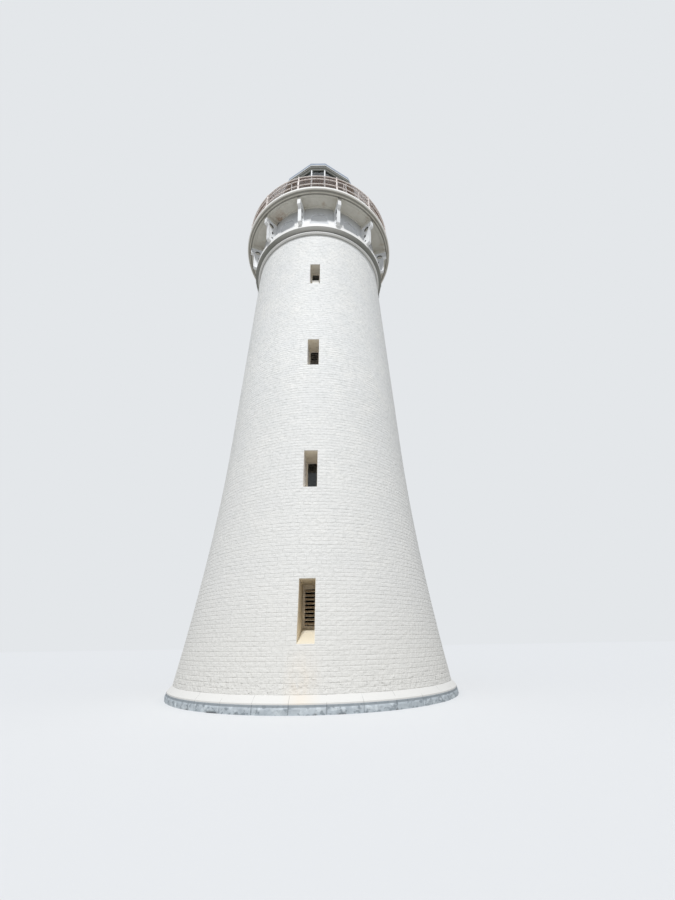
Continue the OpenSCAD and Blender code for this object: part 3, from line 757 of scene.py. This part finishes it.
def slab(bm, corners, out):
    """A flat coat on four corners, as thick as it goes along a vector; returns its corners."""
    near = [bm.verts.new(spot) for spot in corners]
    far = [bm.verts.new(Vector(spot) + Vector(out)) for spot in corners]
    return skin(bm, [far, near])


def swing(bm, corners, degrees):
    """Turns corners about Z."""
    turn = Matrix.Rotation(math.radians(degrees), 3, "Z")
    bmesh.ops.rotate(bm, verts=corners, cent=(0, 0, 0), matrix=turn)


# Heads of rivets and nails, as outlines of radii and heights
RIVET = [(0.012, 0), (0.010, 0.005), (0.004, 0.008)]
NAIL = [(0.006, 0), (0.005, 0.002), (0.002, 0.003)]


def stud(bm, outline, x, y, z, sides=8):
    """A turned head that faces along +X from a spot; returns its corners."""
    corners = turned(bm, outline, sides)
    for v in corners:
        v.co = Vector((v.co.z + x, v.co.x + y, v.co.y + z))
    return corners


def repeat(name, build, spots, material, uneven=0.0):
    """Repeats a shape at spots, each an X, Y, Z and a turn about Z, with Geometry Nodes."""
    shape = new_object(name + "_shape", shaped(name + "_shape", build))
    turns = [(0, 0, spot[3]) for spot in spots]
    mesh = points(name + "_spots", [spot[:3] for spot in spots], {"turn": turns})
    tree, given = new_tree(name + "_tree", {"Size": 1.0, "Unevenness": uneven, "Seed": 3})
    source = add(tree, "GeometryNodeObjectInfo", {"Object": shape})
    turn = add(tree, "GeometryNodeInputNamedAttribute", {"Name": "turn"}, data_type="FLOAT_VECTOR")
    euler = add(tree, "FunctionNodeEulerToRotation", {0: turn})
    laid = add(tree, "GeometryNodeInstanceOnPoints", {
        "Points": given["Geometry"], "Instance": source.outputs["Geometry"], "Rotation": euler,
        "Scale": given["Size"]})
    twist = add(tree, "ShaderNodeCombineXYZ", {"Z": unevenness(tree, given)})
    twisted = add(tree, "GeometryNodeRotateInstances", {"Instances": laid, "Rotation": twist})
    close_tree(tree, twisted, material)
    piece = grow(name, mesh, tree, {})
    bpy.data.objects.remove(shape)
    return piece


def spots_at(turns, radius, heights):
    """Spots at turns about the tower, at each of some heights."""
    return [(radius * math.cos(turn), radius * math.sin(turn), z, turn) for turn in turns for z in heights]


def front_and_back(y, heights):
    """Spots on the window line, on both sides of the tower."""
    return [(0, side * y, z, side * math.pi / 2) for z in heights for side in (-1, 1)]


# The plinth

def rock_row(bm, number, start, width, v):
    """Corners across a stone's rock face, at a share of its height: lumps within a sunk edge."""
    row = []
    face_h = PLINTH_H - MARGIN_H
    draft = 0.03
    z = v * face_h
    for i in range(STONE_ACROSS + 1):
        u = i / STONE_ACROSS
        turn = start + u * width
        edge = min(min(u, 1 - u) * width * PLINTH_R / draft, min(v + 0.25, 1 - v) * face_h / draft, 1.0)
        spot = Vector((math.cos(turn) * PLINTH_R, math.sin(turn) * PLINTH_R, z))
        lumps = noise.noise(spot * 6.0 + Vector((number * 3.1, 0, 0))) * 0.7 + noise.noise(spot * 16.0) * 0.25
        sunk = max(0.0, 0.012 + lumps * 0.020) * (0.4 + 0.6 * edge)
        radius = PLINTH_R - 0.003 - (1 - edge) * 0.017 - sunk
        row.append(corner(bm, min(radius, PLINTH_R - 0.001), turn, z))
    return row


def plinth_stones(bm):
    # Rock-faced stones in a ring, each with a smooth margin on top, round a solid core
    step = math.radians(360 / STONES)
    width = step - STONE_JOINT / PLINTH_R
    margin_r = PLINTH_R - MARGIN_IN
    core_r = PLINTH_R - STONE_DEPTH
    ease = 0.004
    rest = [(margin_r, PLINTH_H - MARGIN_H), (margin_r, PLINTH_H - ease), (margin_r - ease, PLINTH_H),
            (core_r, PLINTH_H), (core_r, 0)]
    for number in range(STONES):
        start = math.radians(STONE_START - 90) + number * step + STONE_JOINT / PLINTH_R / 2
        rows = [rock_row(bm, number, start, width, j / STONE_UP) for j in range(STONE_UP + 1)]
        for radius, z in rest:
            rows.append([corner(bm, radius, start + i / STONE_ACROSS * width, z)
                         for i in range(STONE_ACROSS + 1)])
        for lower, upper in zip(rows, rows[1:] + rows[:1]):
            for i in range(STONE_ACROSS):
                bm.faces.new((lower[i], lower[i + 1], upper[i + 1], upper[i]))
        bm.faces.new([row[0] for row in rows])
        bm.faces.new([row[-1] for row in reversed(rows)])
    turned(bm, [(core_r, 0), (core_r, PLINTH_H)], 112)


STONE_RING = single("plinth_stones", plinth_stones, ROCK)
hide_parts("plinth")


# The windows' linings

def window_linings(bm):
    # Thin coats of cement paint on the cheeks, head and sill of each embrasure
    coat = 0.004
    edge = 0.012
    half = WINDOW_W / 2
    inner = -FRAME_Y
    for head, height, rise, turn in WINDOWS:
        sill = head - height
        y_low, y_high = -shaft_r(sill) + edge, -shaft_r(head) + edge
        z_in = sill + rise
        z_out = sill + rise / (shaft_r(sill) - FRAME_Y) * edge
        fresh = []
        for x, out in ((-half, coat), (half, -coat)):
            cheek = [(x, inner, z_in), (x, y_low, z_out), (x, y_high, head), (x, inner, head)]
            fresh += slab(bm, cheek, (out, 0, 0))
        for y, z, z_far, up in ((y_high, head, head, -coat), (y_low, z_in, z_out, coat)):
            flat = [(-half, inner, z), (half, inner, z), (half, y, z_far), (-half, y, z_far)]
            fresh += slab(bm, flat, (0, 0, up))
        swing(bm, fresh, turn)


single("window_linings", window_linings, REVEAL)


# The gallery and its railing

def gallery_mouldings(bm):
    # A half-round bead under the nosing's hollow, and a flat fillet that eases the border into the panels
    bead = [(3.392, 17.975), (3.388, 17.940), (3.376, 17.918), (3.366, 17.912), (3.356, 17.918),
            (3.348, 17.930), (3.350, 17.975)]
    fillet = [(3.286, 17.893), (3.286, 17.880), (3.276, 17.874), (3.165, 17.918), (3.150, 17.928),
              (3.150, 17.945), (3.225, 17.945)]
    ring(bm, bead, 180)
    ring(bm, fillet, 180)


def collar(bm):
    # A forged ball with a groove above and below, where a rail passes its post
    upper = [(0.043, 0.014), (0.033, 0.028), (0.037, 0.032), (0.037, 0.040), (0.030, 0.045)]
    lower = [(r, -z) for r, z in reversed(upper)]
    turned(bm, [*lower, (0.045, 0), *upper], 14)


def post_head(bm):
    # A turned cap with a low dome on a post's head
    turned(bm, [(0.036, -0.012), (0.040, -0.008), (0.040, 0.004), (0.034, 0.010), (0.034, 0.014),
                (0.028, 0.026), (0.016, 0.034), (0.004, 0.037)], 14)


def foot_plate(bm):
    # A cast plate under a post's foot, with a bolt at each end
    for v in turned(bm, [(0.050, 0), (0.050, 0.010), (0.046, 0.014)], 4, math.pi / 4):
        v.co.y *= 2.6
        v.co.x *= 0.85
    for y in (-0.0684, 0.0684):
        for v in turned(bm, [(0.015, 0.014), (0.015, 0.024), (0.010, 0.028)], 6):
            v.co.y += y


def stay(bm):
    # A thin rod from the deck to the second rail, hooked over it at the top
    rail = RAILS[1]
    turned(bm, [(0.018, 0), (0.018, 0.012), (0.011, 0.018), (0.010, rail - 0.030), (0.016, rail - 0.024),
                (0.016, rail - 0.004), (0.008, rail + 0.026)], 10)


# Turns of the posts, and of the three rods that the photograph shows between them
POST_TURNS = [math.radians(POST_TURN - 90 + (k + 0.5) * 360 / POSTS) for k in range(POSTS)]
STAY_TURNS = [math.radians(turn - 90) for turn in (-13.1, 20.7, 33.2)]
# Wire mesh behind the rails: clearance from a post's middle, radius, wire, pitch, and a bay's clear turn
POST_CLEAR = 0.027
MESH_R = POST_R - 0.0215
WIRE_R = 0.0025
MESH_PITCH = 0.020
MESH_FOOT = 0.02
MESH_ROWS = int((RAILS[0] - MESH_FOOT) / MESH_PITCH) + 1
BAY = math.tau / POSTS
BAY_FREE = BAY - 2 * math.asin(POST_CLEAR / MESH_R)
UPRIGHTS = int(BAY_FREE * MESH_R / MESH_PITCH)
UPRIGHT_R = MESH_R - 2 * WIRE_R + 0.0005
UPRIGHT_TURNS = [
    turn + BAY / 2 + BAY_FREE * ((k + 0.5) / UPRIGHTS - 0.5) for turn in POST_TURNS for k in range(UPRIGHTS)]


def ring_wire(bm):
    # A level wire from post to post, a little bowed with the gallery
    steps = 10
    section = ((-WIRE_R, 0), (0, -WIRE_R), (WIRE_R, 0), (0, WIRE_R))
    turns = [BAY / 2 + BAY_FREE * (i / steps - 0.5) for i in range(steps + 1)]
    skin(bm, [[corner(bm, MESH_R + out, turn, up) for out, up in section] for turn in turns])


def upright_wire(bm):
    # A straight wire from the mesh's foot to the top rail, on the inner side of the level ones
    turned(bm, [(WIRE_R, 0.014), (WIRE_R, RAILS[0])], 4)


repeat("railing_collars", collar, spots_at(POST_TURNS, POST_R, [DECK_Z + rail for rail in RAILS]), RAIL,
       0.05)
repeat("railing_heads", post_head, spots_at(POST_TURNS, POST_R, [DECK_Z + POST_TOP + 0.004]), RAIL)
repeat("railing_feet", foot_plate, spots_at(POST_TURNS, NOSING_R - 0.052, [DECK_Z]), RAIL)
single("gallery_mouldings", gallery_mouldings, SOFFIT)
repeat("railing_stays", stay, spots_at(STAY_TURNS, POST_R, [DECK_Z]), RAIL)
repeat("railing_mesh_rows", ring_wire, spots_at(POST_TURNS, 0, [
    DECK_Z + MESH_FOOT + k * MESH_PITCH for k in range(MESH_ROWS)]), WIRE)
repeat("railing_mesh_uprights", upright_wire, spots_at(UPRIGHT_TURNS, UPRIGHT_R, [DECK_Z]), WIRE)


# The lantern

def corner_strap(bm):
    # An iron strap over the corner of the base wall, with two rows of rivets
    plate(bm, (-0.034, 0.004), 0.060, (0, LANTERN_BASE_H - 0.004), 0.003)
    for row in (-0.040, 0.040):
        for k in range(16):
            stud(bm, RIVET, 0.003, row, 0.08 + k * (LANTERN_BASE_H - 0.16) / 15)


def sole_plates(bm):
    # Angles at the foot of a short and a long side of the base wall, each with a row of rivets
    wall_r = GLASS_R + LANTERN_BASE_T / 2
    for turn, half_turn in ((0, SHORT_HALF), (30, 30 - SHORT_HALF)):
        reach = wall_r * math.cos(math.radians(half_turn))
        half = wall_r * math.sin(math.radians(half_turn)) - 0.075
        fresh = plate(bm, (reach - 0.002, reach + 0.010), half, (0, 0.070), 0.003)
        fresh += plate(bm, (reach - 0.002, reach + 0.060), half, (0, 0.010), 0.003)
        count = max(2, round(2 * half / 0.16))
        for k in range(count):
            fresh += stud(bm, RIVET, reach + 0.009, -half + (k + 0.5) * 2 * half / count, 0.042)
        swing(bm, fresh, turn)


def roof_rib(bm):
    # A rounded cover strip down a hip of the roof, with a small knob at its foot
    section = ((-1.0, -0.012), (-0.9, 0.012), (-0.4, 0.026), (0.4, 0.026), (0.9, 0.012), (1.0, -0.012))
    foot = EAVE_R - ROOF_IN
    run = foot - NECK_R * foot / EAVE_R
    loops = []
    for k in range(9):
        x = foot - 0.030 - (run - 0.030) * k / 8
        z = ROOF_RISE * (foot - x) / run
        half = 0.034 - 0.012 * k / 8
        loops.append([bm.verts.new((x, side * half, z + up)) for side, up in section])
    skin(bm, loops)
    knob = [(0.030, -0.02), (0.036, 0), (0.036, 0.02), (0.020, 0.035), (0.030, 0.055), (0.022, 0.080),
            (0.004, 0.095)]
    for v in turned(bm, knob, 12):
        v.co.x += foot - 0.060
        v.co.z += ROOF_RISE * 0.060 / run


def vent_rings(bm):
    # Mouldings round the ventilator's neck and ball, over a row of drip holes' hoods
    base = EAVE_Z + ROOF_RISE
    top = base + VENT_NECK_H
    ball = top + BALL_R * 0.9
    neck = NECK_R * 0.8
    foot = ((0.002, -0.004), (0.045, 0), (0.055, 0.012), (0.045, 0.024), (0.012, 0.032), (0.004, 0.036))
    collar_ring = ((0.002, -0.040), (0.030, -0.034), (0.034, -0.024), (0.022, -0.014), (0.004, -0.006))
    girdle = ((-0.006, -0.022), (0.008, -0.016), (0.014, 0), (0.008, 0.016), (-0.006, 0.022))
    for radius, z, outline in ((neck, base, foot), (neck, top, collar_ring), (BALL_R, ball, girdle)):
        turned(bm, [(radius + out, z + up) for out, up in outline], 48)
    for k in range(12):
        hood = stud(bm, [(0.026, 0), (0.028, 0.012), (0.012, 0.030)], neck - 0.002, 0, base + 0.085, 10)
        swing(bm, hood, 360 * k / 12)


# Turns of the corners of the lantern's plan, and of the middles of its short sides
CORNERS = [math.radians(60 * k - 90 + side * SHORT_HALF) for k in range(6) for side in (-1, 1)]
SHORT_SIDES = [math.radians(60 * k - 90) for k in range(6)]
repeat("lantern_corner_straps", corner_strap, spots_at(CORNERS, GLASS_R + LANTERN_BASE_T / 2, [DECK_Z]), IRON)
repeat("lantern_sole_plates", sole_plates, spots_at(SHORT_SIDES, 0, [DECK_Z]), IRON)
repeat("roof_ribs", roof_rib, spots_at(CORNERS, 0, [EAVE_Z]), ROOF)
single("ventilator_rings", vent_rings, ROOF)


# The boards and bars of the windows and the door

def top_board(bm):
    # The board with a drip ledge across the foot of the topmost window's pane
    plate(bm, (0, 0.014), 0.130, (0, 0.150), 0.003)
    plate(bm, (0, 0.034), 0.150, (0.150, 0.172), 0.004)


def inner_bar(bm):
    # A thin dusty glazing bar behind a pane
    plate(bm, (0, 0.012), 0.128, (-0.011, 0.011), 0.003)


def inner_board(bm):
    # A board across the lower part of a pane, on its inner side
    plate(bm, (0, 0.012), 0.128, (0, 0.400), 0.003)


DOOR_BOARDS = 6
DOOR_BOARD_W = (DOOR_W - 0.190) / DOOR_BOARDS


def door_board(bm):
    # One upright board with bevelled edges, and its nails at three ledges
    plate(bm, (0, 0.016), DOOR_BOARD_W / 2 - 0.001, (0.004, DOOR_H - 0.100), 0.004)
    for z in (0.22, 1.00, 1.78):
        for y in (-0.03, 0.03):
            stud(bm, NAIL, 0.0155, y, z)


# Places of the boards outside the topmost panes, of bars and boards inside panes, and of the door's boards
TOP_BOARD_Y = FRAME_Y + FRAME_T / 2 + 0.006
TOP_BOARD_Z = UPPER_HEADS[2] - WINDOW_H + SILL_RISE + 0.275
INNER_Y = FRAME_Y + 0.012
INNER_BARS_Z = [9.895, 9.975, 10.055, 13.980]
INNER_BOARD_Z = 9.420
DOOR_Y = shaft_r(DOOR_Z + DOOR_H) - DOOR_REVEAL - 0.020
repeat("top_window_boards", top_board, front_and_back(TOP_BOARD_Y, [TOP_BOARD_Z]), STONE)
repeat("window_inner_bars", inner_bar, front_and_back(INNER_Y, INNER_BARS_Z), BAR)
repeat("window_inner_boards", inner_board, front_and_back(INNER_Y, [INNER_BOARD_Z]), BAR)
repeat("door_boards", door_board, [
    ((k + 0.5 - DOOR_BOARDS / 2) * DOOR_BOARD_W, DOOR_Y, DOOR_Z, math.pi / 2) for k in range(DOOR_BOARDS)],
    CREAM)


# The camera stands in front, a little right of the window line: places in metres, turns in degrees, and the
# focal length in pixels of the photograph's height
CAM_DIST = 12.40
CAM_H = 1.2326
WINDOW_LINE = 3.2
PAN = -0.289
TILT = 27.04
ROLL = -0.954
FOCAL = 374.6
PHOTO_H = 900


def set_camera():
    """Looks up at the tower as the photograph does."""
    camera = new_object("camera", bpy.data.cameras.new("camera"))
    camera.data.sensor_width = 36
    camera.data.lens = 36 * FOCAL / PHOTO_H
    line = math.radians(WINDOW_LINE)
    stand = Matrix.Translation((CAM_DIST * math.sin(line), -CAM_DIST * math.cos(line), CAM_H))
    pan = Matrix.Rotation(math.radians(PAN), 4, "Z")
    tilt = Matrix.Rotation(math.radians(90 + TILT), 4, "X")
    roll = Matrix.Rotation(math.radians(ROLL), 4, "Z")
    camera.matrix_world = stand @ pan @ tilt @ roll
    bpy.context.scene.camera = camera


def floor():
    """A pale floor that keeps the tower's shadow."""
    reach = 90
    mesh = bpy.data.meshes.new("floor")
    mesh.from_pydata([(x * reach, y * reach, 0) for x, y in ((-1, -1), (1, -1), (1, 1), (-1, 1))], [],
                     [(0, 1, 2, 3)])
    board = new_object("floor", mesh)
    material = bpy.data.materials.new("floor_board")
    material.use_nodes = True
    tree = material.node_tree
    shader = tree.nodes["Principled BSDF"]
    shader.inputs["Roughness"].default_value = 0.9
    shader.inputs["Specular IOR Level"].default_value = 0.0
    # A shade darker to the light that it throws back up than to the camera
    seen = add(tree, "ShaderNodeLightPath").outputs["Is Camera Ray"]
    tone = add(tree, "ShaderNodeMixRGB", {
        "Color1": linear("#B9B7B2"), "Color2": linear("#DCDDDE"), "Fac": seen})
    tree.links.new(tone.outputs[0], shader.inputs["Base Color"])
    mesh.materials.append(material)


def sky():
    """Even pale light from all round, and a pale backdrop that the camera, metal and glass see instead."""
    world = bpy.data.worlds.new("sky")
    bpy.context.scene.world = world
    world.use_nodes = True
    tree = world.node_tree
    light = tree.nodes["Background"]
    light.inputs["Color"].default_value = linear("#ECF1F8")
    light.inputs["Strength"].default_value = 0.52
    backdrop = add(tree, "ShaderNodeBackground", {"Color": linear("#E4E7EA"), "Strength": 1.0})
    path = add(tree, "ShaderNodeLightPath").outputs
    seen = path["Is Camera Ray"]
    for ray in ("Is Glossy Ray", "Is Transmission Ray"):
        seen = add(tree, "ShaderNodeMath", {0: seen, 1: path[ray]}, operation="MAXIMUM")
    both = add(tree, "ShaderNodeMixShader", {0: seen, 1: light, 2: backdrop})
    tree.links.new(both.outputs[0], tree.nodes["World Output"].inputs["Surface"])


def sun():
    """Soft sun from the front, high and a little to the left."""
    key = new_object("key", bpy.data.lights.new("key", "SUN"))
    key.data.energy = 2.78
    key.data.angle = math.radians(5)
    key.rotation_euler = (math.radians(40), 0, math.radians(-4))


set_camera()
floor()
sky()
sun()
bpy.context.scene.view_settings.view_transform = "Standard"
